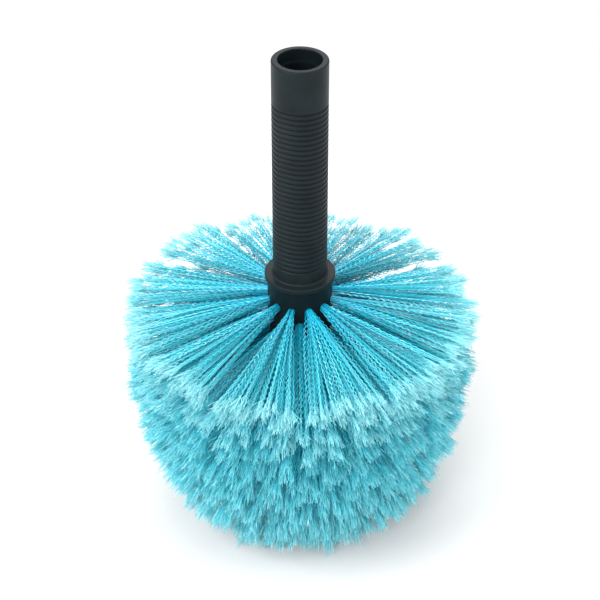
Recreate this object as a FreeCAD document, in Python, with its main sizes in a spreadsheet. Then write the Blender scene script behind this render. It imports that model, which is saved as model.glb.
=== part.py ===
import FreeCAD, Part
import Sketcher
import math
import os
import re

# A dome-shaped cobweb brush head, in millimetres. +Z runs up the stem, and z = 0 is the
# surface that the head stands on, with the lowest bristle tips cut flat there.

# Lengths that drive the model
SIZES = {
    # Stem: a ribbed tube with a collar at its foot and a spigot below the collar
    "collar_level": 158.0,
    "stem_length": 135.0,
    "stem_radius": 15.5,
    "rim_round": 0.8,
    "mouth_round": 0.5,
    "foot_round": 1.2,
    "collar_width": 4.8,
    "collar_thickness": 3.0,
    "collar_round": 0.5,
    # Pole socket: a plain entry for the pole's end, a ledge, the stretch that carries the thread,
    # and a well down to a floor above the collar
    "entry_wall": 3.5,
    "entry_depth": 6.5,
    "ledge_width": 2.25,
    "thread_length": 48.0,
    "well_step": 0.55,
    "floor_rise": 15.5,
    "floor_thickness": 5.0,
    # Ring grooves that leave the grip ribs standing, between a plain band and the stem's foot
    "plain_band": 25.0,
    "foot_band": 6.0,
    "rib_pitch": 3.05,
    "groove_width": 1.7,
    "groove_floor_width": 0.6,
    "groove_depth": 0.55,
    # Spigot of the stem and its seat in the hub
    "spigot_radius": 9.8,
    "spigot_wall": 3.2,
    "spigot_length": 40.0,
    "spigot_lead": 0.8,
    "seat_clearance": 0.1,
    "seat_end_clearance": 0.3,
    # Hub: a cylinder with a domed end
    "hub_radius": 18.65,
    "hub_edge_round": 0.6,
    "first_row_drop": 16.4,
    "row_pitch": 9.7,
    "equator_drop": 2.0,
    "core_wall": 1.9,
    # Tuft holes, tufts and wire anchors
    "hole_radius": 2.6,
    "tuft_clearance": 0.1,
    "mouth_stand": 2.6,
    "tuft_reach": 104.0,
    "fold_thickness": 1.2,
    "anchor_thickness": 0.5,
    "anchor_height": 2.0,
    "anchor_bite": 0.4,
    "anchor_clearance": 0.05,
    # Gaps that part the bristles of a tuft into locks, at the end of their reach
    "gap_width": 3.8,
    "split_width": 3.0,
    # Dome that the bristles are trimmed to
    "head_radius": 100.2,
    "dome_level": 102.5,
    "foot_radius": 66.4,
    "trim_overrun": 5.0,
}

# Each row of tufts: its node's ending, how many tufts, and its angles in degrees. slope is how far
# the tuft points down. spread and rise are the fan's half angles, along the row and across it.
# dome is how far below the equator of the hub's end the row sits, or None on the cylinder.
ROWS = [
    {"name": "row_1", "count": 12, "slope": 8.5, "spread": 14.5, "rise": 3.0, "dome": None},
    {"name": "row_2", "count": 12, "slope": 14.0, "spread": 14.0, "rise": 3.2, "dome": None},
    {"name": "row_3", "count": 12, "slope": 21.0, "spread": 13.5, "rise": 3.6, "dome": None},
    {"name": "row_4", "count": 12, "slope": 28.0, "spread": 13.0, "rise": 4.2, "dome": None},
    {"name": "row_5", "count": 12, "slope": 37.0, "spread": 12.3, "rise": 5.0, "dome": None},
    {"name": "row_6", "count": 12, "slope": 47.0, "spread": 10.5, "rise": 5.5, "dome": 24.0},
    {"name": "row_7", "count": 8, "slope": 64.0, "spread": 9.5, "rise": 7.0, "dome": 54.0},
    {"name": "centre", "count": 1, "slope": 90.0, "spread": 12.0, "rise": 9.0, "dome": 90.0},
]
# Gaps that stand across a fan: their places as shares of its half width, and where each one starts
# as a share of the reach. One more gap splits the fan's thickness in two.
GAP_PLACE_SHARES = (-0.65, -0.32, 0.04, 0.35, 0.68)
GAP_START_SHARES = (0.44, 0.31, 0.47, 0.35, 0.41)
SPLIT_START_SHARE = 0.38
CYLINDER_ROWS = sum(row["dome"] is None for row in ROWS)
ROW_ANGLES = ("slope", "spread", "rise", "dome")

# Heights and radii that follow from the sizes, as formulas of their names
RIM_LEVEL = "(collar_level + stem_length)"
THREAD_TOP = f"({RIM_LEVEL} - entry_depth)"
THREAD_END = f"({THREAD_TOP} - thread_length)"
WELL_FLOOR = "(collar_level + floor_rise)"
ENTRY_RADIUS = "(stem_radius - entry_wall)"
THREAD_RADIUS = f"({ENTRY_RADIUS} - ledge_width)"
WELL_RADIUS = f"({THREAD_RADIUS} - well_step)"
COLLAR_RADIUS = "(stem_radius + collar_width)"
RIB_COUNT = "floor((stem_length - plain_band - foot_band) / rib_pitch)"
HUB_TOP = "(collar_level - collar_thickness)"
SPIGOT_END = f"({HUB_TOP} - spigot_length)"
SEAT_RADIUS = "(spigot_radius + seat_clearance)"
EQUATOR = f"(collar_level - first_row_drop - {CYLINDER_ROWS - 1} * row_pitch - equator_drop)"
HOLE_DEPTH = f"(hub_radius - {SEAT_RADIUS} - core_wall)"
TUFT_RADIUS = "(hole_radius - tuft_clearance)"

doc = FreeCAD.newDocument("CobwebBrush")
sheet = doc.addObject("Spreadsheet::Sheet", "Sizes")


def fill_sheet():
    """Writes each size, and each row's count and angles, to a cell named after it."""
    cells = dict(SIZES)
    for row in ROWS:
        cells[row["name"] + "_count"] = row["count"]
        for kind in ROW_ANGLES:
            cells[f"{row['name']}_{kind}_angle"] = row[kind] or 0.0
    for line, (name, number) in enumerate(cells.items(), start=1):
        sheet.set(f"A{line}", name)
        sheet.set(f"B{line}", str(number))
        sheet.setAlias(f"B{line}", name)
    doc.recompute()
    return set(cells)


NAMES = fill_sheet()


def on_sheet(formula):
    """The formula with each size's name pointing at its cell."""

    def cell(found):
        return "Sizes." + found[0] if found[0] in NAMES else found[0]

    return re.sub(r"[a-z]\w*", cell, formula)


def worth(formula):
    return float(sheet.evalExpression(on_sheet(formula)))


def bind(item, place, formula):
    item.setExpression(place, on_sheet(formula))


def origin_item(body, role):
    return next(item for item in body.Origin.OriginFeatures if item.Role == role)


def new_body(name):
    body = doc.addObject("PartDesign::Body", name)
    body.Label = name
    body.AllowCompound = True
    return body


def new_sketch(body, name, plane):
    sketch = body.newObject("Sketcher::SketchObject", name)
    sketch.AttachmentSupport = [(origin_item(body, plane), "")]
    sketch.MapMode = "FlatFace"
    return sketch


def set_distance(sketch, kind, item, point, formula):
    """Ties one coordinate of a sketch point, measured from the sketch's origin, to a formula."""
    distance = Sketcher.Constraint(kind, -1, 1, item, point, worth(formula))
    number = sketch.addConstraint(distance)
    bind(sketch, f"Constraints[{number}]", formula)


def set_place(sketch, item, point, across, up):
    """Ties a sketch point to its two coordinates, where 0 puts it on an axis."""
    for kind, axis, formula in (("DistanceX", -2, across), ("DistanceY", -1, up)):
        if formula == "0":
            sketch.addConstraint(Sketcher.Constraint("PointOnObject", item, point, axis))
        else:
            set_distance(sketch, kind, item, point, formula)


def draw_outline(sketch, corners):
    """Draws a closed outline. A corner is (across, up), or (across, up, centre across, centre up) where
    an arc leads to it from the corner before, whose centre stays level or in line with an end."""
    spots = [FreeCAD.Vector(worth(corner[0]), worth(corner[1]), 0) for corner in corners]
    ends = []
    for number, corner in enumerate(corners):
        here, there = spots[number - 1], spots[number]
        if len(corner) == 2:
            item = sketch.addGeometry(Part.LineSegment(here, there), False)
            ends.append((item, 1, 2))
            continue
        middle = FreeCAD.Vector(worth(corner[2]), worth(corner[3]), 0)
        start, stop = here - middle, there - middle
        turns_left = start.x * stop.y - start.y * stop.x > 0
        first, last = (start, stop) if turns_left else (stop, start)
        circle = Part.Circle(middle, FreeCAD.Vector(0, 0, 1), start.Length)
        arc = Part.ArcOfCircle(circle, math.atan2(first.y, first.x), math.atan2(last.y, last.x))
        item = sketch.addGeometry(arc, False)
        ends.append((item, 1, 2) if turns_left else (item, 2, 1))
        level = abs(middle.y - here.y) < abs(middle.x - here.x)
        set_distance(sketch, "DistanceY" if level else "DistanceX", item, 3, corner[3 if level else 2])
    for corner, side, next_side in zip(corners, ends, ends[1:] + ends[:1]):
        item, stop = side[0], side[2]
        sketch.addConstraint(Sketcher.Constraint("Coincident", item, stop, next_side[0], next_side[1]))
        set_place(sketch, item, stop, corner[0], corner[1])


def draw_circle(sketch, radius):
    circle = Part.Circle(FreeCAD.Vector(0, 0, 0), FreeCAD.Vector(0, 0, 1), worth(radius))
    item = sketch.addGeometry(circle, False)
    sketch.addConstraint(Sketcher.Constraint("Coincident", item, 3, -1, 1))
    number = sketch.addConstraint(Sketcher.Constraint("Radius", item, worth(radius)))
    bind(sketch, f"Constraints[{number}]", radius)


def draw_ellipse(sketch, half_width, half_rise):
    """Draws an ellipse about the sketch's origin, wide along the sketch's upright axis."""
    top = FreeCAD.Vector(0, worth(half_width), 0)
    side = FreeCAD.Vector(-worth(half_rise), 0, 0)
    item = sketch.addGeometry(Part.Ellipse(top, side, FreeCAD.Vector(0, 0, 0)), False)
    sketch.exposeInternalGeometry(item)
    width_line, rise_line = item + 1, item + 2
    sketch.addConstraint(Sketcher.Constraint("Coincident", item, 3, -1, 1))
    sketch.addConstraint(Sketcher.Constraint("Vertical", width_line))
    for line, half in ((width_line, half_width), (rise_line, half_rise)):
        number = sketch.addConstraint(Sketcher.Constraint("Distance", line, 2 * worth(half)))
        bind(sketch, f"Constraints[{number}]", f"2 * ({half})")


def draw_rectangle(sketch, half_across, half_up):
    corners = [(1, 1), (-1, 1), (-1, -1), (1, -1)]
    draw_outline(sketch, [(f"{x} * ({half_across})", f"{y} * ({half_up})") for x, y in corners])


def turn_profile(body, kind, name, corners):
    """Turns an outline of (radius, height) corners about the Z axis, adding it or cutting it away."""
    sketch = new_sketch(body, name + "_outline", "XZ_Plane")
    draw_outline(sketch, corners)
    turned = body.newObject("PartDesign::" + kind, name)
    turned.Profile = sketch
    turned.ReferenceAxis = (sketch, ["V_Axis"])
    turned.Angle = 360
    return turned


def make_stem():
    """The stem, its collar and spigot, with the pole socket from above and the spigot's core from below."""
    body = new_body("handle_stem")
    collar_shoulder = f"{COLLAR_RADIUS} - collar_round"
    foot = "stem_radius + foot_round"
    mouth = f"{ENTRY_RADIUS} + mouth_round"
    core = "spigot_radius - spigot_wall"
    core_top = f"{WELL_FLOOR} - floor_thickness"
    turn_profile(body, "Revolution", "tube", [
        (core, SPIGOT_END),
        ("spigot_radius - spigot_lead", SPIGOT_END),
        ("spigot_radius", f"{SPIGOT_END} + spigot_lead"),
        ("spigot_radius", HUB_TOP),
        (collar_shoulder, HUB_TOP),
        (COLLAR_RADIUS, f"{HUB_TOP} + collar_round", collar_shoulder, f"{HUB_TOP} + collar_round"),
        (COLLAR_RADIUS, "collar_level - collar_round"),
        (collar_shoulder, "collar_level", collar_shoulder, "collar_level - collar_round"),
        (foot, "collar_level"),
        ("stem_radius", "collar_level + foot_round", foot, "collar_level + foot_round"),
        ("stem_radius", f"{RIM_LEVEL} - rim_round"),
        ("stem_radius - rim_round", RIM_LEVEL, "stem_radius - rim_round", f"{RIM_LEVEL} - rim_round"),
        (mouth, RIM_LEVEL),
        (ENTRY_RADIUS, f"{RIM_LEVEL} - mouth_round", mouth, f"{RIM_LEVEL} - mouth_round"),
        (ENTRY_RADIUS, THREAD_TOP),
        (THREAD_RADIUS, THREAD_TOP),
        (THREAD_RADIUS, THREAD_END),
        (WELL_RADIUS, THREAD_END),
        (WELL_RADIUS, WELL_FLOOR),
        ("0", WELL_FLOOR),
        ("0", core_top),
        (core, core_top),
    ])
    middle = f"{RIM_LEVEL} - plain_band - groove_width / 2"
    groove = turn_profile(body, "Groove", "rib_groove", [
        ("stem_radius", f"{middle} + groove_width / 2"),
        ("stem_radius - groove_depth", f"{middle} + groove_floor_width / 2"),
        ("stem_radius - groove_depth", f"{middle} - groove_floor_width / 2"),
        ("stem_radius", f"{middle} - groove_width / 2"),
        ("stem_radius + groove_depth", f"{middle} - groove_width / 2"),
        ("stem_radius + groove_depth", f"{middle} + groove_width / 2"),
    ])
    ribs = body.newObject("PartDesign::LinearPattern", "ribs")
    ribs.Originals = [groove]
    ribs.Direction = (origin_item(body, "Z_Axis"), [""])
    ribs.Reversed = True
    bind(ribs, "Length", f"rib_pitch * ({RIB_COUNT} - 1)")
    bind(ribs, "Occurrences", RIB_COUNT)
    body.Tip = ribs
    return body


def make_hub_blank():
    """The hub before its tuft holes: a cylinder with a domed end and a blind seat for the spigot."""
    body = new_body("hub_blank")
    shoulder = "hub_radius - hub_edge_round"
    seat_floor = f"{SPIGOT_END} - seat_end_clearance"
    turn_profile(body, "Revolution", "block", [
        ("0", f"{EQUATOR} - hub_radius"),
        ("hub_radius", EQUATOR, "0", EQUATOR),
        ("hub_radius", f"{HUB_TOP} - hub_edge_round"),
        (shoulder, HUB_TOP, shoulder, f"{HUB_TOP} - hub_edge_round"),
        (SEAT_RADIUS, HUB_TOP),
        (SEAT_RADIUS, seat_floor),
        ("0", seat_floor),
    ])
    return body


def row_root(row):
    """The radius and height, as formulas, of the point on the hub's surface where a row's tufts leave it."""
    if row["dome"] is None:
        steps = ROWS.index(row)
        return "hub_radius", f"(collar_level - first_row_drop - {steps} * row_pitch)"
    below = f"{row['name']}_dome_angle"
    return f"(hub_radius * cos({below}))", f"({EQUATOR} - hub_radius * sin({below}))"


def square_sketch(body, name, row, reach):
    """A sketch square to a tuft, at a distance along it from the hub's surface. Its upright axis runs
    along the row, and it is drawn for the tuft that points along +X."""
    radius, height = row_root(row)
    slope = f"{row['name']}_slope_angle"
    sketch = new_sketch(body, name, "XY_Plane")
    sketch.AttachmentOffset = FreeCAD.Placement(
        FreeCAD.Vector(0, 0, 0), FreeCAD.Rotation(FreeCAD.Vector(0, 1, 0), 90)
    )
    bind(sketch, "AttachmentOffset.Base.x", f"{radius} + ({reach}) * cos({slope})")
    bind(sketch, "AttachmentOffset.Base.z", f"{height} - ({reach}) * sin({slope})")
    bind(sketch, "AttachmentOffset.Rotation.Angle", f"90 + {slope}")
    return sketch


def raise_sketch(body, kind, name, sketch, length):
    """Pads a sketch outwards along its tuft, or cuts a pocket that way."""
    raised = body.newObject("PartDesign::" + kind, name)
    raised.Profile = sketch
    raised.Reversed = kind == "Pocket"
    bind(raised, "Length", length)
    return raised


def repeat_round(body, row):
    """Repeats the body's shape round the hub, and turns every other row by half a step."""
    doc.recompute()
    if row["count"] > 1:
        ring = body.newObject("PartDesign::PolarPattern", body.Label + "_ring")
        ring.TransformMode = "Whole shape"
        ring.Axis = (origin_item(body, "Z_Axis"), [""])
        ring.Angle = 360
        bind(ring, "Occurrences", f"{row['name']}_count")
        body.Tip = ring
    if ROWS.index(row) % 2 == 0:
        body.Placement = FreeCAD.Placement(
            FreeCAD.Vector(0, 0, 0), FreeCAD.Rotation(FreeCAD.Vector(0, 0, 1), 0)
        )
        bind(body, "Placement.Rotation.Angle", f"180 / {row['name']}_count")
    return body


def make_drill(row):
    """What a row of tuft holes takes out of the hub: the holes, and the slits that the anchors bite."""
    body = new_body("drill_" + row["name"])
    bottom = f"0 - {HOLE_DEPTH}"
    circle = square_sketch(body, body.Label + "_circle", row, bottom)
    draw_circle(circle, "hole_radius")
    raise_sketch(body, "Pad", body.Label + "_hole", circle, f"{HOLE_DEPTH} + hole_radius + mouth_stand")
    slit = square_sketch(body, body.Label + "_slit_outline", row, f"{bottom} + fold_thickness")
    draw_rectangle(
        slit,
        "hole_radius + anchor_bite + anchor_clearance",
        "anchor_thickness / 2 + anchor_clearance",
    )
    raise_sketch(body, "Pad", body.Label + "_slit", slit, "anchor_height + 2 * anchor_clearance")
    return repeat_round(body, row)


def make_hub(drills):
    """The hub block with a blind hole for every tuft."""
    blank = make_hub_blank()
    holes = doc.addObject("Part::Compound", "hub_holes")
    holes.Links = drills
    hub = doc.addObject("Part::Cut", "hub_block")
    hub.Label = "hub_block"
    hub.Base = blank
    hub.Tool = holes
    return hub


def fan_half(row, kind, reach):
    """Half a fan's width (spread) or thickness (rise) at a distance from the hub, as a formula."""
    return f"({TUFT_RADIUS} + ({reach} - mouth_stand) * tan({row['name']}_{kind}_angle))"


def part_locks(body, row):
    """Parts a fan into locks, with wedge-shaped gaps that open towards the tips."""
    radius, height = row_root(row)
    slope = f"{row['name']}_slope_angle"
    far = "tuft_reach + trim_overrun"
    gaps = new_sketch(body, body.Label + "_gap_outlines", "XY_Plane")
    gaps.AttachmentOffset = FreeCAD.Placement(
        FreeCAD.Vector(0, 0, 0), FreeCAD.Rotation(FreeCAD.Vector(0, 1, 0), 90)
    )
    bind(gaps, "AttachmentOffset.Base.x", radius)
    bind(gaps, "AttachmentOffset.Base.z", height)
    bind(gaps, "AttachmentOffset.Rotation.Angle", slope)
    for place, start in zip(GAP_PLACE_SHARES, GAP_START_SHARES):
        near = f"{start} * tuft_reach"
        middle = f"{place} * {fan_half(row, 'spread', far)}"
        draw_outline(gaps, [
            (near, f"{place} * {fan_half(row, 'spread', near)}"),
            (far, f"{middle} - gap_width / 2"),
            (far, f"{middle} + gap_width / 2"),
        ])
    split = new_sketch(body, body.Label + "_split_outline", "XZ_Plane")
    split.AttachmentOffset = FreeCAD.Placement(
        FreeCAD.Vector(0, 0, 0), FreeCAD.Rotation(FreeCAD.Vector(0, 0, 1), 90)
    )
    bind(split, "AttachmentOffset.Base.x", radius)
    bind(split, "AttachmentOffset.Base.y", height)
    bind(split, "AttachmentOffset.Rotation.Angle", f"0 - {slope}")
    draw_outline(split, [
        (f"{SPLIT_START_SHARE} * tuft_reach", "0"),
        (far, "0 - split_width / 2"),
        (far, "split_width / 2"),
    ])
    for sketch, ending, kind in ((gaps, "_gaps", "rise"), (split, "_split", "spread")):
        cut = raise_sketch(body, "Pocket", body.Label + ending, sketch, f"2 * {fan_half(row, kind, far)}")
        cut.SideType = "Symmetric"


def make_tufts(row):
    """A row of tufts: each has a round root, folded into its hole, and fans out in locks to the dome."""
    body = new_body("tuft_" + row["name"])
    bottom = f"0 - {HOLE_DEPTH} + tuft_clearance"
    root = square_sketch(body, body.Label + "_root", row, bottom)
    draw_circle(root, TUFT_RADIUS)
    mouth = square_sketch(body, body.Label + "_mouth", row, "mouth_stand")
    draw_circle(mouth, TUFT_RADIUS)
    tip = square_sketch(body, body.Label + "_tip", row, "tuft_reach")
    draw_ellipse(tip, fan_half(row, "spread", "tuft_reach"), fan_half(row, "rise", "tuft_reach"))
    fan = body.newObject("PartDesign::AdditiveLoft", body.Label + "_fan")
    fan.Profile = root
    fan.Sections = [mouth, tip]
    fan.Ruled = True
    part_locks(body, row)
    slot = square_sketch(body, body.Label + "_slot_outline", row, f"0 - {HOLE_DEPTH} + fold_thickness")
    draw_rectangle(slot, "hole_radius", "anchor_thickness / 2 + anchor_clearance")
    raise_sketch(body, "Pocket", body.Label + "_slot", slot, "anchor_height + 2 * anchor_clearance")
    outer = "head_radius + tuft_reach"
    below = "0 - tuft_reach - trim_overrun"
    arc_inset = "((head_radius - foot_radius) / 2 + dome_level ^ 2 / (2 * (head_radius - foot_radius)))"
    turn_profile(body, "Groove", body.Label + "_trim", [
        ("0", "0"),
        ("0", below),
        (outer, below),
        (outer, "collar_level"),
        ("head_radius", "collar_level"),
        ("head_radius", "dome_level"),
        ("foot_radius", "0", f"head_radius - {arc_inset}", "dome_level"),
    ])
    return repeat_round(body, row)


def make_anchors(row):
    """A row of wire anchors: flat pieces across the holes, in the fold of each tuft, biting the wall."""
    body = new_body("anchor_" + row["name"])
    lift = f"0 - {HOLE_DEPTH} + fold_thickness + anchor_clearance"
    strip = square_sketch(body, body.Label + "_outline", row, lift)
    draw_rectangle(strip, "hole_radius + anchor_bite", "anchor_thickness / 2")
    raise_sketch(body, "Pad", body.Label + "_strip", strip, "anchor_height")
    return repeat_round(body, row)


def check_document():
    """Stops if any object of the document failed to rebuild."""
    doc.recompute()
    for item in doc.Objects:
        if "Invalid" in item.State or "Error" in item.State:
            raise RuntimeError(f"{item.Label} did not rebuild: {item.State}")


def write_steps(pieces):
    for piece in pieces:
        if piece.Shape.isNull() or not piece.Shape.isValid():
            raise RuntimeError(f"{piece.Label} has no valid shape")
    os.makedirs("parts", exist_ok=True)
    for piece in pieces:
        piece.Shape.exportStep(f"parts/{piece.Label}.step")
        print(f"{piece.Label}: {len(piece.Shape.Solids)} solids, {piece.Shape.Volume:.1f} mm3")


subparts = [make_stem(), make_hub([make_drill(row) for row in ROWS])]
for row in ROWS:
    subparts.append(make_tufts(row))
    subparts.append(make_anchors(row))
check_document()
write_steps(subparts)
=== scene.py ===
import math

import bmesh
import bpy
import numpy as np
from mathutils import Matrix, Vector


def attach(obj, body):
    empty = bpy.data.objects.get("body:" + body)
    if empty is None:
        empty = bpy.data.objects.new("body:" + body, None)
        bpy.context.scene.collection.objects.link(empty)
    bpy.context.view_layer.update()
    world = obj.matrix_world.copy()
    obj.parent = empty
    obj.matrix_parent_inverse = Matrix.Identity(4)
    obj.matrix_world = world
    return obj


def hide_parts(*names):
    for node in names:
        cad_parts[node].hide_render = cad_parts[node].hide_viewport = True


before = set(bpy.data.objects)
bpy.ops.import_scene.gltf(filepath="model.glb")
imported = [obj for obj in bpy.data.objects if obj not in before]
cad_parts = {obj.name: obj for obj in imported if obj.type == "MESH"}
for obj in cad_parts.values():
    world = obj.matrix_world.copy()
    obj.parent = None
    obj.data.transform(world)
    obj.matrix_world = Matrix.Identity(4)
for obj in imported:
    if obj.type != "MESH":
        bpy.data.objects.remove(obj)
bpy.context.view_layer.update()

# Handle stem: the tall ribbed tube that a pole screws into, with a flat collar at its foot.
# One injection moulding in dark grey polypropylene, with a spigot that is pressed into the hub.


def linear(colour):
    """An sRGB hex colour as the linear values that a shader takes."""
    shares = [int(colour[at:at + 2], 16) / 255 for at in (0, 2, 4)]
    return [s / 12.92 if s <= 0.04045 else ((s + 0.055) / 1.055) ** 2.4 for s in shares] + [1.0]


def add_node(material, kind, settings):
    """Adds a node. A setting is a socket by name or number, linked if its value is another node's
    socket, or else one of the node's own properties."""
    tree = material.node_tree
    node = tree.nodes.new(kind)
    for name, value in settings.items():
        if not isinstance(name, int) and name not in node.inputs:
            setattr(node, name, value)
        elif isinstance(value, bpy.types.NodeSocket):
            tree.links.new(value, node.inputs[name])
        else:
            node.inputs[name].default_value = value
    return node


def start_material(name):
    """A new material whose node tree is still empty."""
    material = bpy.data.materials.new(name)
    material.use_nodes = True
    material.node_tree.nodes.clear()
    return material


# Moulded polypropylene: a satin skin from a spark-eroded mould, cloudy where the melt cooled unevenly, and
# smoother on the crests of the ribs where hands grip it. The crests are also painted paler, partly as wear
# and partly as a painted highlight where light catches the ribs.
STEM_GROOVE_RADIUS = 0.01515
STEM_CREST_RADIUS = 0.0155
stem_plastic = start_material("moulded_polypropylene_grey")
stem_place = add_node(stem_plastic, "ShaderNodeTexCoord", {}).outputs["Object"]
stem_cloud = add_node(stem_plastic, "ShaderNodeTexNoise", {
    "Vector": stem_place, "Scale": 1 / 0.016, "Detail": 3.0, "Roughness": 0.55,
}).outputs["Fac"]
# The mould's grain is about 0.2 mm, too fine to show, so it is drawn at 0.7 mm.
stem_grain = add_node(stem_plastic, "ShaderNodeTexNoise", {
    "Vector": stem_place, "Scale": 1 / 0.0007, "Detail": 2.0,
}).outputs["Fac"]
stem_across = add_node(stem_plastic, "ShaderNodeVectorMath", {
    "operation": "MULTIPLY", 0: stem_place, 1: (1.0, 1.0, 0.0),
}).outputs["Vector"]
stem_radius = add_node(stem_plastic, "ShaderNodeVectorMath", {
    "operation": "LENGTH", 0: stem_across,
}).outputs["Value"]
stem_crest = add_node(stem_plastic, "ShaderNodeMapRange", {
    "Value": stem_radius, "From Min": STEM_GROOVE_RADIUS, "From Max": STEM_CREST_RADIUS,
    "To Min": 0.0, "To Max": 1.0,
}).outputs["Result"]
# Crest mask times the cloud: smoother there, and painted paler, as wear and as a painted highlight on the
# ribs.
stem_crest_wear_and_highlight = add_node(stem_plastic, "ShaderNodeMath", {
    "operation": "MULTIPLY", 0: stem_crest, 1: stem_cloud,
}).outputs["Value"]
stem_ground = add_node(stem_plastic, "ShaderNodeMix", {
    "data_type": "RGBA", "Factor": stem_cloud, 6: linear("0b1316"), 7: linear("10191c"),
}).outputs[2]
stem_colour = add_node(stem_plastic, "ShaderNodeMix", {
    "data_type": "RGBA", "Factor": stem_crest_wear_and_highlight, 6: stem_ground, 7: linear("20292b"),
}).outputs[2]
stem_roughness = add_node(stem_plastic, "ShaderNodeMapRange", {
    "Value": stem_crest_wear_and_highlight, "To Min": 0.46, "To Max": 0.34,
}).outputs["Result"]
stem_bump = add_node(stem_plastic, "ShaderNodeBump", {
    "Height": stem_grain, "Strength": 0.25, "Distance": 0.00006,
}).outputs["Normal"]
stem_surface = add_node(stem_plastic, "ShaderNodeBsdfPrincipled", {
    "Base Color": stem_colour, "Roughness": stem_roughness, "Normal": stem_bump, "IOR": 1.49,
    "Specular IOR Level": 0.12,
}).outputs["BSDF"]
add_node(stem_plastic, "ShaderNodeOutputMaterial", {"Surface": stem_surface})
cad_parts["handle_stem"].material_slots[0].material = stem_plastic

# Hub block: the core that the tufts stand in, drilled with a blind hole for each.
# A solid polypropylene moulding, near black, that the stem's collar sits on.

# Moulded polypropylene about as near black as the stem's, with a teal tint that is a painted reflection of
# the tufts above it: the same grain, drawn as coarse as the stem's, and a satin gloss that clouds a little.
hub_plastic = start_material("moulded_polypropylene_black")
hub_place = add_node(hub_plastic, "ShaderNodeTexCoord", {}).outputs["Object"]
hub_cloud = add_node(hub_plastic, "ShaderNodeTexNoise", {
    "Vector": hub_place, "Scale": 1 / 0.010, "Detail": 3.0,
}).outputs["Fac"]
hub_grain = add_node(hub_plastic, "ShaderNodeTexNoise", {
    "Vector": hub_place, "Scale": 1 / 0.0007, "Detail": 2.0,
}).outputs["Fac"]
# The teal tint in these two colours is a painted reflection of the tufts.
hub_colour_painted_teal = add_node(hub_plastic, "ShaderNodeMix", {
    "data_type": "RGBA", "Factor": hub_cloud, 6: linear("0a1619"), 7: linear("0f1e22"),
}).outputs[2]
hub_roughness = add_node(hub_plastic, "ShaderNodeMapRange", {
    "Value": hub_cloud, "To Min": 0.36, "To Max": 0.46,
}).outputs["Result"]
hub_bump = add_node(hub_plastic, "ShaderNodeBump", {
    "Height": hub_grain, "Strength": 0.2, "Distance": 0.00005,
}).outputs["Normal"]
hub_surface = add_node(hub_plastic, "ShaderNodeBsdfPrincipled", {
    "Base Color": hub_colour_painted_teal, "Roughness": hub_roughness, "Normal": hub_bump, "IOR": 1.49,
    "Specular IOR Level": 0.12,
}).outputs["BSDF"]
add_node(hub_plastic, "ShaderNodeOutputMaterial", {"Surface": hub_surface})
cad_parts["hub_block"].material_slots[0].material = hub_plastic

# Wire anchors: short flat pieces of drawn steel wire at the bottom of the holes, one in the fold of
# each tuft. A staking machine drives them in, so their ends bite the walls of the holes.

# Drawn steel: bright, with a gloss that varies with the marks of the die. These are finer than a tenth of
# a millimetre, too fine to show, so they are drawn at 0.4 mm.
anchor_steel = start_material("drawn_steel_wire")
anchor_place = add_node(anchor_steel, "ShaderNodeTexCoord", {}).outputs["Object"]
anchor_marks = add_node(anchor_steel, "ShaderNodeTexNoise", {
    "Vector": anchor_place, "Scale": 1 / 0.0004, "Detail": 3.0,
}).outputs["Fac"]
anchor_colour = add_node(anchor_steel, "ShaderNodeMix", {
    "data_type": "RGBA", "Factor": anchor_marks, 6: linear("8f8f8b"), 7: linear("c2c2bd"),
}).outputs[2]
anchor_roughness = add_node(anchor_steel, "ShaderNodeMapRange", {
    "Value": anchor_marks, "To Min": 0.25, "To Max": 0.45,
}).outputs["Result"]
anchor_surface = add_node(anchor_steel, "ShaderNodeBsdfPrincipled", {
    "Base Color": anchor_colour, "Roughness": anchor_roughness, "Metallic": 1.0,
}).outputs["BSDF"]
add_node(anchor_steel, "ShaderNodeOutputMaterial", {"Surface": anchor_surface})
for node_name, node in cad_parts.items():
    if node_name.startswith("anchor_"):
        node.material_slots[0].material = anchor_steel

# Tufts: bunches of crimped polyester filament, folded in half over an anchor in each hole.
# They fan out from the hub in tiers and are trimmed to a dome, and their ends are split into fine
# flags, which makes the outside pale and soft.
TUFT_ROWS = [
    # node, tufts, first tuft's turn, radius and height of the roots in mm, and in degrees the slope of a
    # fan, half its width and half its thickness
    ("tuft_row_1", 12, 15.0, 18.65, 141.6, 8.5, 15.0, 3.2),
    ("tuft_row_2", 12, 0.0, 18.65, 131.9, 14.0, 14.5, 4.0),
    ("tuft_row_3", 12, 15.0, 18.65, 122.2, 21.0, 14.0, 4.8),
    ("tuft_row_4", 12, 0.0, 18.65, 112.5, 28.0, 13.5, 5.5),
    ("tuft_row_5", 12, 15.0, 18.65, 102.8, 37.0, 12.8, 6.2),
    ("tuft_row_6", 12, 0.0, 17.04, 93.21, 47.0, 11.5, 6.5),
    ("tuft_row_7", 8, 22.5, 10.96, 85.71, 64.0, 10.5, 8.0),
    ("tuft_centre", 1, 0.0, 0.0, 82.15, 90.0, 12.0, 9.0),
]
MM = 0.001
# In the upper two rows the filaments can be seen from the root on.
OPEN_ROWS = 2
# The filaments of a fan part into locks towards the tips: six across, by gaps at these shares of its half
# width that start so far from the hub, and two over its thickness.
LOCKS = 12
LOCK_EDGES = np.array([-1.0, -0.65, -0.32, 0.04, 0.35, 0.68, 1.0])
GAP_WIDTHS = np.array([0.0, 0.0038, 0.0038, 0.0038, 0.0038, 0.0038, 0.0])
GAP_STARTS = np.array([0.04, 0.0458, 0.0322, 0.0489, 0.0364, 0.0426, 0.04])
GAP_END = 0.109
SPLIT_WIDTH = 0.0030
SPLIT_START = 0.0395
# Each tuft stands off its true turn and slope by a few degrees at most.
TURN_ERROR = 0.8
SLOPE_ERROR = 1.0
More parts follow.
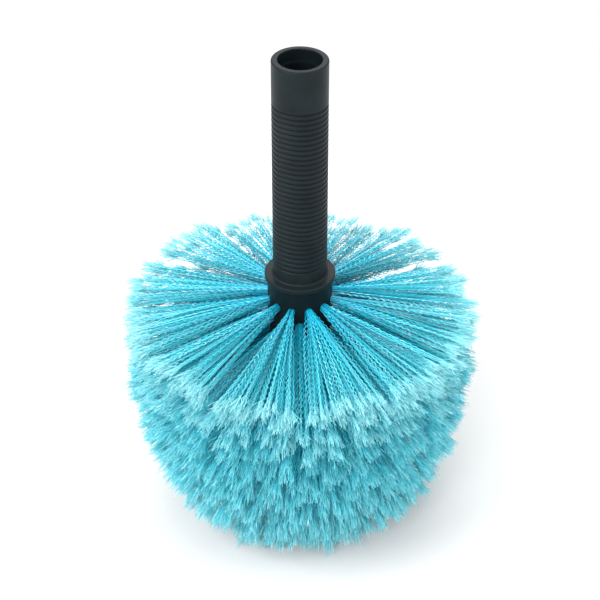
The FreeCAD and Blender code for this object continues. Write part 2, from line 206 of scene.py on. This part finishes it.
# Each lock has a few bundles of filaments.
LOCK_BUNDLES = 3
BUNDLE_STRANDS = 2
FILAMENT_RADIUS = 0.00028
CRIMP_DEPTH = 0.00046
BOW = 0.0012
# A filament is drawn with this many points, or with fewer on its inner part where that is hidden.
OPEN_POINTS = 42
HIDDEN_SHARE = 0.45
HIDDEN_POINTS = 5
OUTER_POINTS = 16
# The number of bands of painted brightness, which stand in for light and shade among the filaments, and how
# far the colours run towards the pale end in a row whose roots are at these heights in mm. The top row runs
# furthest, as painted light.
SHADES = 16
PALING_HEIGHTS = [86.0, 93.0, 122.0, 140.0]
PALING_SHARES = [0.951, 0.902, 0.902, 1.0]
# A filament runs to the first of these shares of its length, and its flags start at the second.
MAIN_SHARE = 0.95
FLAG_SHARE = 0.88
FLAGS = 8
FLAG_GAP = 0.0019
FLAG_BEND = 0.0005
END_MERGE = 0.00006
# A tuft stands this deep in its hole and opens into its fan past the mouth, in a short curve.
ROOT_DEPTH = 0.0045
ROOT_RADIUS = 0.0018
MOUTH = 0.0026
MOUTH_CURVE = 0.004
MOUTH_SETBACK = 0.0003
# A middling fan's outer edge, which the filaments are aimed at before they are trimmed: how far out it
# lies, half its width and half its thickness.
TIP_DISTANCE = 0.083
TIP_WIDTH = 0.022
TIP_RISE = 0.007
# The head is trimmed straight down to a level, and to an arc below it. Where a filament leaves that dome
# is found by steps between the shortest and the longest reach.
DOME_RADIUS = 0.1002
DOME_LEVEL = 0.1025
DOME_ARC = 0.1723
SHORTEST_REACH = 0.03
LONGEST_REACH = 0.125
REACH_STEP = 0.0005
# The ends are ragged, from lock to lock and from filament to filament, within these limits.
LOCK_EXCESS = 0.0004
LOCK_RAGGED = 0.0024
STRAND_RAGGED = 0.0018
MOST_SHORT = 0.005
LOCK_MOST_OVER = 0.003
STRAND_MOST_OVER = 0.002
FLOOR_CLEARANCE = 0.0004

# Three sides are enough for a filament that is half a millimetre thick.
section_curve = bpy.data.curves.new("filament_section", "CURVE")
section_ring = section_curve.splines.new("POLY")
section_ring.points.add(2)
for side, point in enumerate(section_ring.points):
    turn = 2 * math.pi * side / 3
    point.co = (math.cos(turn), math.sin(turn), 0.0, 1.0)
section_ring.use_cyclic_u = True
filament_section = bpy.data.objects.new("filament_section", section_curve)
bpy.context.scene.collection.objects.link(filament_section)


def smooth_step(low, high, value):
    """0 up to low, 1 from high on, and a smooth rise between them."""
    share = np.clip((value - low) / (high - low), 0.0, 1.0)
    return share * share * (3 - 2 * share)


def reach_to_dome(start, heading):
    """How far straight lines run before they leave the dome that the head is trimmed to."""
    steps = np.arange(SHORTEST_REACH, LONGEST_REACH, REACH_STEP)
    spots = start[:, None, :] + heading[:, None, :] * steps[None, :, None]
    radius = np.hypot(spots[..., 0], spots[..., 1])
    below = np.clip(DOME_LEVEL - spots[..., 2], 0.0, DOME_LEVEL)
    limit = DOME_RADIUS - DOME_ARC + np.sqrt(DOME_ARC**2 - below**2)
    inside = (radius < limit) & (spots[..., 2] > 0.0)
    return steps[np.minimum(inside.cumprod(axis=1).sum(axis=1), len(steps) - 1)]


def sweep_filaments(name, paths, radii, rolls):
    """A mesh of filaments along these paths, with the curve's own map: along, then around. Each is rolled
    about its own line, so that their flat sides catch the light here and there."""
    curve = bpy.data.curves.new(name, "CURVE")
    curve.dimensions = "3D"
    curve.bevel_mode = "OBJECT"
    curve.bevel_object = filament_section
    count = paths.shape[1]
    spots = np.concatenate([paths, np.ones(paths.shape[:2] + (1,))], axis=2).astype(np.float32)
    radii = radii.astype(np.float32)
    for spot, radius, roll in zip(spots, radii, rolls):
        spline = curve.splines.new("POLY")
        spline.use_smooth = False
        spline.points.add(count - 1)
        spline.points.foreach_set("co", spot.ravel())
        spline.points.foreach_set("radius", radius)
        spline.points.foreach_set("tilt", np.full(count, roll, np.float32))
    holder = bpy.data.objects.new(name, curve)
    bpy.context.scene.collection.objects.link(holder)
    shown = holder.evaluated_get(bpy.context.evaluated_depsgraph_get())
    mesh = bpy.data.meshes.new_from_object(shown)
    bpy.data.objects.remove(holder)
    bpy.data.curves.remove(curve)
    return mesh


def shade_filaments(mesh, shades, along):
    """Names the map for the colours and sets it: along the filament, and across it a band for each level of
    painted brightness."""
    layer = mesh.uv_layers[0]
    layer.name = "OFBake"
    spots = np.empty(2 * len(mesh.loops), np.float32)
    layer.uv.foreach_get("vector", spots)
    spots = spots.reshape(-1, 2)
    spots[:, 0] = np.interp(spots[:, 0], np.linspace(0.0, 1.0, len(along)), along)
    band = np.repeat(shades, len(mesh.loops) // len(shades))
    spots[:, 1] = (band + 0.15 + 0.7 * spots[:, 1]) / SHADES
    layer.uv.foreach_set("vector", spots.ravel())


def join_filaments(name, meshes):
    """One object from these meshes, with the ends of the filaments closed to a point."""
    whole = bmesh.new()
    for mesh in meshes:
        whole.from_mesh(mesh)
    ends = [vertex for vertex in whole.verts if vertex.is_boundary]
    bmesh.ops.remove_doubles(whole, verts=ends, dist=END_MERGE)
    joined = bpy.data.meshes.new(name)
    whole.to_mesh(joined)
    whole.free()
    for mesh in meshes:
        bpy.data.meshes.remove(mesh)
    joined.materials.clear()
    joined.materials.append(bristle)
    row = bpy.data.objects.new(name, joined)
    bpy.context.scene.collection.objects.link(row)
    return row


def make_tuft_row(name, turns, root_radius, root_height, slope, spread, rise, open_row, seed):
    """The filaments of tufts at these turns. In an open row they show from the root on, and in the
    others only their outer halves do, so their inner halves are drawn with fewer points."""
    rng = np.random.default_rng(seed)
    tufts = len(turns)
    locks = tufts * LOCKS
    bundles = locks * LOCK_BUNDLES
    strands = bundles * BUNDLE_STRANDS
    bundle = np.arange(strands) // BUNDLE_STRANDS
    lock = bundle // LOCK_BUNDLES
    tuft = lock // LOCKS

    def scatter(count, far):
        """Points strewn evenly over a disc."""
        turn = rng.uniform(0.0, 2 * math.pi, count)
        return (far * np.sqrt(rng.uniform(0.0, 1.0, count)) * np.stack([np.cos(turn), np.sin(turn)])).T

    # The way each tuft points, and the two ways across it.
    turn = np.radians(np.array(turns) + rng.normal(0.0, TURN_ERROR, tufts))[tuft]
    dip = np.radians(slope + rng.normal(0.0, SLOPE_ERROR, tufts))[tuft]
    outward = np.stack([np.cos(turn), np.sin(turn), np.zeros(strands)], axis=1)
    sideways = np.stack([-np.sin(turn), np.cos(turn), np.zeros(strands)], axis=1)
    upward = np.array([0.0, 0.0, 1.0])
    heading = outward * np.cos(dip)[:, None] - upward * np.sin(dip)[:, None]
    lift = outward * np.sin(dip)[:, None] + upward * np.cos(dip)[:, None]
    root = outward * root_radius * MM + upward * root_height * MM

    # A lock holds a few small bundles of filaments, strewn over its own part of the fan.
    place = lock % LOCKS // 2
    side = np.where(lock % 2 == 0, 1.0, -1.0)
    low, high = LOCK_EDGES[place], LOCK_EDGES[place + 1]
    lock_shift = rng.normal(0.0, 1.0, (locks, 2))[lock] * [0.045, 0.12 if open_row else 0.25]
    gap_widths = GAP_WIDTHS * rng.uniform(0.2, 1.0, (tufts, len(GAP_WIDTHS)))
    gap_starts = GAP_STARTS * rng.uniform(0.8, 1.3, (tufts, len(GAP_STARTS)))
    bundle_spot = rng.uniform([0.15, 0.05], [0.85, 1.0], (bundles, 2))
    bundle_spot[:, 0] = (np.arange(bundles) % LOCK_BUNDLES + bundle_spot[:, 0]) / LOCK_BUNDLES
    bundle_spot = bundle_spot[bundle]
    own_spot = bundle_spot + rng.uniform(-1.0, 1.0, (strands, 2)) * [0.09, 0.3]
    for spot in (bundle_spot, own_spot):
        spot[:, 1] = side * np.sqrt(np.clip(spot[:, 1], 0.0, 1.0))

    def spread_out(spot, far, half_width, half_rise):
        """Places in a fan for places in the locks, at distances from the hub."""
        gaps = []
        for edge in (place, place + 1):
            start, width = gap_starts[tuft, edge][:, None], gap_widths[tuft, edge][:, None]
            gaps.append(width / 2 * np.clip((far - start) / (GAP_END - start), 0.0, 1.0) / half_width)
        room = (high - low)[:, None] - gaps[0] - gaps[1]
        across = low[:, None] + gaps[0] + spot[..., 0] * np.maximum(room, 0.02) + lock_shift[:, :1]
        opening = np.clip((far - SPLIT_START) / (GAP_END - SPLIT_START), 0.0, 1.0)
        split = np.minimum(SPLIT_WIDTH / 2 * opening / half_rise, 0.5)
        aloft = side[:, None] * split + spot[..., 1] * (1 - split) + lock_shift[:, 1:]
        # A fan is thinner towards its sides.
        return across, aloft * np.sqrt(1 - 0.8 * np.clip(across**2, 0.0, 1.0))

    # Each is cut where it meets the dome, and the ends are ragged, lock by lock.
    fan = np.tan(np.radians([spread, rise]))
    end_across, end_aloft = spread_out(own_spot[:, None, :], TIP_DISTANCE, TIP_WIDTH, TIP_RISE)
    straight = heading + sideways * (end_across * fan[0]) + lift * (end_aloft * fan[1])
    reach = reach_to_dome(root, straight)
    reach += np.clip(rng.normal(LOCK_EXCESS, LOCK_RAGGED, locks), -MOST_SHORT, LOCK_MOST_OVER)[lock]
    reach += np.clip(rng.normal(0.0, STRAND_RAGGED, strands), -MOST_SHORT, STRAND_MOST_OVER)
    # Most filaments bow a little, and a few stray far.
    bow = scatter(strands, BOW) * rng.choice([1.0, 3.5], strands, p=[0.95, 0.05])[:, None]

    def follow(share):
        """Points of every filament at shares of its length, before the crimp."""
        far = -ROOT_DEPTH + (reach[:, None] + ROOT_DEPTH) * share
        past = far - MOUTH
        opened = 0.5 * (past + np.sqrt(past**2 + MOUTH_CURVE**2)) - MOUTH_SETBACK
        half_width = ROOT_RADIUS + opened * fan[0]
        half_rise = ROOT_RADIUS + opened * fan[1]
        # Halfway along, a filament lies nearer to the middle of its bundle.
        near = (0.5 * smooth_step(0.05, 0.3, share) * (1 - smooth_step(0.6, 0.95, share)))[..., None]
        spot = own_spot[:, None, :] * (1 - near) + bundle_spot[:, None, :] * near
        across, aloft = spread_out(spot, far, half_width, half_rise)
        sweep = np.stack([across * half_width, aloft * half_rise], axis=-1)
        sweep = sweep + bow[:, None, :] * np.sin(math.pi * share)[..., None]
        path = root[:, None, :] + heading[:, None, :] * far[..., None]
        return path + sideways[:, None, :] * sweep[..., :1] + lift[:, None, :] * sweep[..., 1:]

    def beside(path, turn, size):
        """The path with its points moved across the filament."""
        way = sideways * np.cos(turn)[:, None] + lift * np.sin(turn)[:, None]
        path = path + way[:, None, :] * size[..., None]
        path[..., 2] = np.maximum(path[..., 2], FLOOR_CLEARANCE)
        return path

    # The crimp turns a filament to and fro at every point past the mouth of its hole. In a lock the
    # waves lie nearly in step.
    even = np.linspace(0.0, 1.0, OPEN_POINTS)
    if not open_row:
        hidden = np.linspace(0.0, HIDDEN_SHARE, HIDDEN_POINTS)[:-1]
        even = np.concatenate([hidden, np.linspace(HIDDEN_SHARE, 1.0, OUTER_POINTS)])
    points = len(even)
    slip = rng.uniform(-0.4, 0.4, locks)[lock] + rng.uniform(-0.35, 0.35, bundles)[bundle]
    slip = slip[:, None] + rng.uniform(-0.2, 0.2, (bundles, points))[bundle]
    slip = slip * np.gradient(even) * (even > 0.0) * (even < 1.0)
    share = np.clip(even + slip, 0.0, 1.0) * MAIN_SHARE
    beat = np.where(np.arange(points) % 2 == 0, 1.0, -1.0) * rng.choice([-1.0, 1.0], locks)[lock][:, None]
    beat = beat * smooth_step(0.06, 0.14, share)
    if not open_row:
        beat = beat * smooth_step(0.42, 0.5, share)
    beat = beat * CRIMP_DEPTH * rng.uniform(0.4, 1.5, (bundles, points))[bundle]
    beat = beat * rng.uniform(0.6, 1.3, strands)[:, None]
    crimp_turn = rng.normal(0.0, 0.45, locks)[lock] + rng.normal(0.0, 0.25, strands)
    paths = beside(follow(share), crimp_turn, beat)
    # A filament thins towards its outer end, and both ends are drawn to a point.
    taper = 1.0 - 0.35 * smooth_step(0.75, 1.0, even)
    taper[[0, -1]] = 0.06
    radii = FILAMENT_RADIUS * taper * rng.uniform(0.9, 1.1, strands)[:, None]

    # Flags: the end of each filament is split into finer ones that stand apart and are cut off blunt.
    flag_even = np.array([0.0, 0.35, 0.68, 0.96, 1.0])
    flag_paths = []
    for _ in range(FLAGS):
        flag_end = 1.0 + rng.uniform(-0.045, 0.01, strands)
        flag_share = FLAG_SHARE + (flag_end[:, None] - FLAG_SHARE) * flag_even
        apart = np.abs(rng.normal(0.0, FLAG_GAP, strands))[:, None] * flag_even
        apart = apart + rng.normal(0.0, FLAG_BEND, apart.shape) * (flag_even > 0.0)
        flag_paths.append(beside(follow(flag_share), rng.uniform(0.0, 2 * math.pi, strands), apart))
    flag_paths = np.concatenate(flag_paths)
    flag_taper = np.array([0.1, 0.64, 0.60, 0.54, 0.07])
    flag_radii = FILAMENT_RADIUS * flag_taper * rng.uniform(0.8, 1.2, len(flag_paths))[:, None]

    # Each filament is painted its own brightness, which stands in for light and shade: darker inside the
    # fan, where shade falls, lighter on its faces, and varied from one filament to the next. The tips are
    # painted palest at the top, as painted light where the light falls most, and paler at the bottom, where
    # they rub, and a flag pales mostly at its very end.
    bright = 0.28 + 0.40 * smooth_step(0.35, 0.95, np.abs(own_spot[:, 1]))
    bright += rng.normal(0.0, 0.20 if open_row else 0.10, strands) + rng.normal(0.0, 0.05, tufts)[tuft]
    # The top row's tips reach the palest colour as painted light.
    paling = np.interp(root_height, PALING_HEIGHTS, PALING_SHARES)
    shades = np.clip(bright * SHADES, 0, SHADES - 1).astype(int)

    rolls = rng.uniform(0.0, 2 * math.pi, strands)
    main_mesh = sweep_filaments(name + "_filaments", paths, radii, rolls)
    shade_filaments(main_mesh, shades, even * MAIN_SHARE * paling)
    flag_rolls = rng.uniform(0.0, 2 * math.pi, len(flag_paths))
    flag_mesh = sweep_filaments(name + "_flags", flag_paths, flag_radii, flag_rolls)
    flag_along = FLAG_SHARE + (1 - FLAG_SHARE) * flag_even**2.2
    shade_filaments(flag_mesh, np.tile(shades, FLAGS), flag_along * paling)
    return join_filaments(name, [main_mesh, flag_mesh])


# Crimped polyester: dyed through, with a soft gloss that glints along the waves. The colour is painted
# darker towards the fold, as painted shade in the hole and near the hub, and pales towards the split ends.
# Each filament is painted its own brightness, which stands in for light and shade.
bristle = start_material("crimped_polyester_turquoise")
bristle_map = add_node(bristle, "ShaderNodeUVMap", {"uv_map": "OFBake"}).outputs["UV"]
bristle_axes = add_node(bristle, "ShaderNodeSeparateXYZ", {"Vector": bristle_map})
bristle_along = add_node(bristle, "ShaderNodeValToRGB", {"Fac": bristle_axes.outputs["X"]})
# The first stops, darker towards the root in the hole and near the hub, are painted shade.
along_stops = [
    (0.0, "0a8cb0"), (0.118, "1eb6d3"), (0.49, "3ac6da"),
    (0.745, "49cbdd"), (0.843, "5fd3e1"), (0.98, "a6eaf0"),
]
for at, _ in along_stops[2:]:
    bristle_along.color_ramp.elements.new(at)
for stop, (at, colour) in zip(bristle_along.color_ramp.elements, along_stops):
    stop.position = at
    stop.color = linear(colour)
bristle_band = add_node(bristle, "ShaderNodeMath", {
    "operation": "MULTIPLY", 0: bristle_axes.outputs["Y"], 1: float(SHADES),
}).outputs["Value"]
bristle_step = add_node(bristle, "ShaderNodeMath", {"operation": "FLOOR", 0: bristle_band}).outputs["Value"]
# A painted brightness for each band, which stands in for light and shade between the filaments.
bristle_painted_shade = add_node(bristle, "ShaderNodeMapRange", {
    "Value": bristle_step, "From Min": 0.0, "From Max": SHADES - 1.0, "To Min": 0.42, "To Max": 1.25,
}).outputs["Result"]
# Light passes through the split ends, so the painted shade differs less there.
bristle_ends = add_node(bristle, "ShaderNodeMapRange", {
    "Value": bristle_axes.outputs["X"], "From Min": 0.647, "From Max": 0.882, "To Min": 0.0, "To Max": 0.75,
}).outputs["Result"]
bristle_scale = add_node(bristle, "ShaderNodeMix", {
    "Factor": bristle_ends, 2: bristle_painted_shade, 3: 0.95,
}).outputs[0]
bristle_colour = add_node(bristle, "ShaderNodeVectorMath", {
    "operation": "SCALE", 0: bristle_along.outputs["Color"], "Scale": bristle_scale,
}).outputs["Vector"]
bristle_surface = add_node(bristle, "ShaderNodeBsdfPrincipled", {
    "Base Color": bristle_colour, "Roughness": 0.2, "IOR": 1.6,
}).outputs["BSDF"]
add_node(bristle, "ShaderNodeOutputMaterial", {"Surface": bristle_surface})

for number, (node_name, tufts, first_turn, *form) in enumerate(TUFT_ROWS):
    tuft_turns = [first_turn + 360.0 / tufts * step for step in range(tufts)]
    open_row = number < OPEN_ROWS
    # A row is made in pieces of a few tufts each, fewer in the open rows, whose tufts have more points.
    piece_tufts = 3 if open_row else 6
    for piece, start in enumerate(range(0, tufts, piece_tufts)):
        row = make_tuft_row(
            f"{node_name}_bristles_{piece + 1}", tuft_turns[start:start + piece_tufts], *form, open_row,
            seed=41 + 10 * number + piece,
        )
        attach(row, "root")
        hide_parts(node_name)
bpy.data.objects.remove(filament_section)
bpy.data.curves.remove(section_curve)

# Floor: a wide pale sheet under the brush that takes its soft shadow.
# Away from the brush it fades into the white surround for whatever looks at it.


def seen_directly(material):
    """1 for rays that show the background as it is: from the camera, off gloss or through glass."""
    path = add_node(material, "ShaderNodeLightPath", {}).outputs
    seen = path["Is Camera Ray"]
    for name in ("Is Glossy Ray", "Is Transmission Ray"):
        seen = add_node(material, "ShaderNodeMath", {
            "operation": "MAXIMUM", 0: seen, 1: path[name],
        }).outputs["Value"]
    return seen


floor_paper = start_material("pale_floor")
floor_surface = add_node(floor_paper, "ShaderNodeBsdfPrincipled", {
    "Base Color": linear("e4e4e4"), "Roughness": 0.9,
}).outputs["BSDF"]
floor_place = add_node(floor_paper, "ShaderNodeTexCoord", {}).outputs["Object"]
floor_distance = add_node(floor_paper, "ShaderNodeVectorMath", {
    "operation": "LENGTH", 0: floor_place,
}).outputs["Value"]
floor_fade = add_node(floor_paper, "ShaderNodeMapRange", {
    "interpolation_type": "SMOOTHSTEP", "Value": floor_distance,
    "From Min": 0.25, "From Max": 0.65, "To Min": 0.0, "To Max": 1.0,
}).outputs["Result"]
floor_share = add_node(floor_paper, "ShaderNodeMath", {
    "operation": "MULTIPLY", 0: floor_fade, 1: seen_directly(floor_paper),
}).outputs["Value"]
floor_white = add_node(floor_paper, "ShaderNodeEmission", {
    "Color": linear("ffffff"), "Strength": 1.0,
}).outputs["Emission"]
floor_whole = add_node(floor_paper, "ShaderNodeMixShader", {
    0: floor_share, 1: floor_surface, 2: floor_white,
}).outputs["Shader"]
add_node(floor_paper, "ShaderNodeOutputMaterial", {"Surface": floor_whole})
sheet = bmesh.new()
bmesh.ops.create_grid(sheet, x_segments=1, y_segments=1, size=4.0)
floor_mesh = bpy.data.meshes.new("floor")
sheet.to_mesh(floor_mesh)
sheet.free()
floor_mesh.materials.append(floor_paper)
floor = bpy.data.objects.new("floor", floor_mesh)
bpy.context.scene.collection.objects.link(floor)

# Light: a white surround that lights softly from all round, and large round lamps overhead, in front, on
# each side and behind.
surround = bpy.data.worlds.new("studio")
surround.use_nodes = True
surround.node_tree.nodes.clear()
surround_strength = add_node(surround, "ShaderNodeMapRange", {
    "Value": seen_directly(surround), "To Min": 0.75, "To Max": 1.0,
}).outputs["Result"]
surround_light = add_node(surround, "ShaderNodeBackground", {
    "Color": linear("ffffff"), "Strength": surround_strength,
}).outputs["Background"]
add_node(surround, "ShaderNodeOutputWorld", {"Surface": surround_light})
bpy.context.scene.world = surround
LAMP_AIM = Vector((0.0, 0.0, 0.1))
LAMPS = [
    # name, place, size across, power in watts
    ("lamp_overhead", (0.0, 0.2, 1.6), 1.4, 8.0),
    ("lamp_front", (-0.35, -1.35, 1.05), 0.8, 13.0),
    ("lamp_left", (-1.0, -0.5, 1.1), 1.0, 15.0),
    ("lamp_right", (1.3, -0.3, 0.8), 1.0, 7.0),
    ("lamp_back", (0.1, 1.3, 0.9), 1.0, 5.0),
]
for lamp_name, spot, size, power in LAMPS:
    lamp_data = bpy.data.lights.new(lamp_name, "AREA")
    lamp_data.shape = "DISK"
    lamp_data.size = size
    lamp_data.energy = power
    lamp = bpy.data.objects.new(lamp_name, lamp_data)
    lamp.location = spot
    lamp.rotation_euler = (LAMP_AIM - Vector(spot)).to_track_quat("-Z", "Y").to_euler()
    bpy.context.scene.collection.objects.link(lamp)

# Camera: looks down on the brush from the front, about 36 degrees below level.
# A long lens keeps the nearest bristles from looming.
camera_data = bpy.data.cameras.new("camera")
camera_data.lens = 102.24
camera_data.sensor_width = 36.0
camera = bpy.data.objects.new("camera", camera_data)
camera.location = (0.0, -0.8025, 0.7109)
camera.rotation_euler = (math.radians(54.45), 0.0, 0.0)
bpy.context.scene.collection.objects.link(camera)
bpy.context.scene.camera = camera
bpy.context.scene.view_settings.view_transform = "Standard"
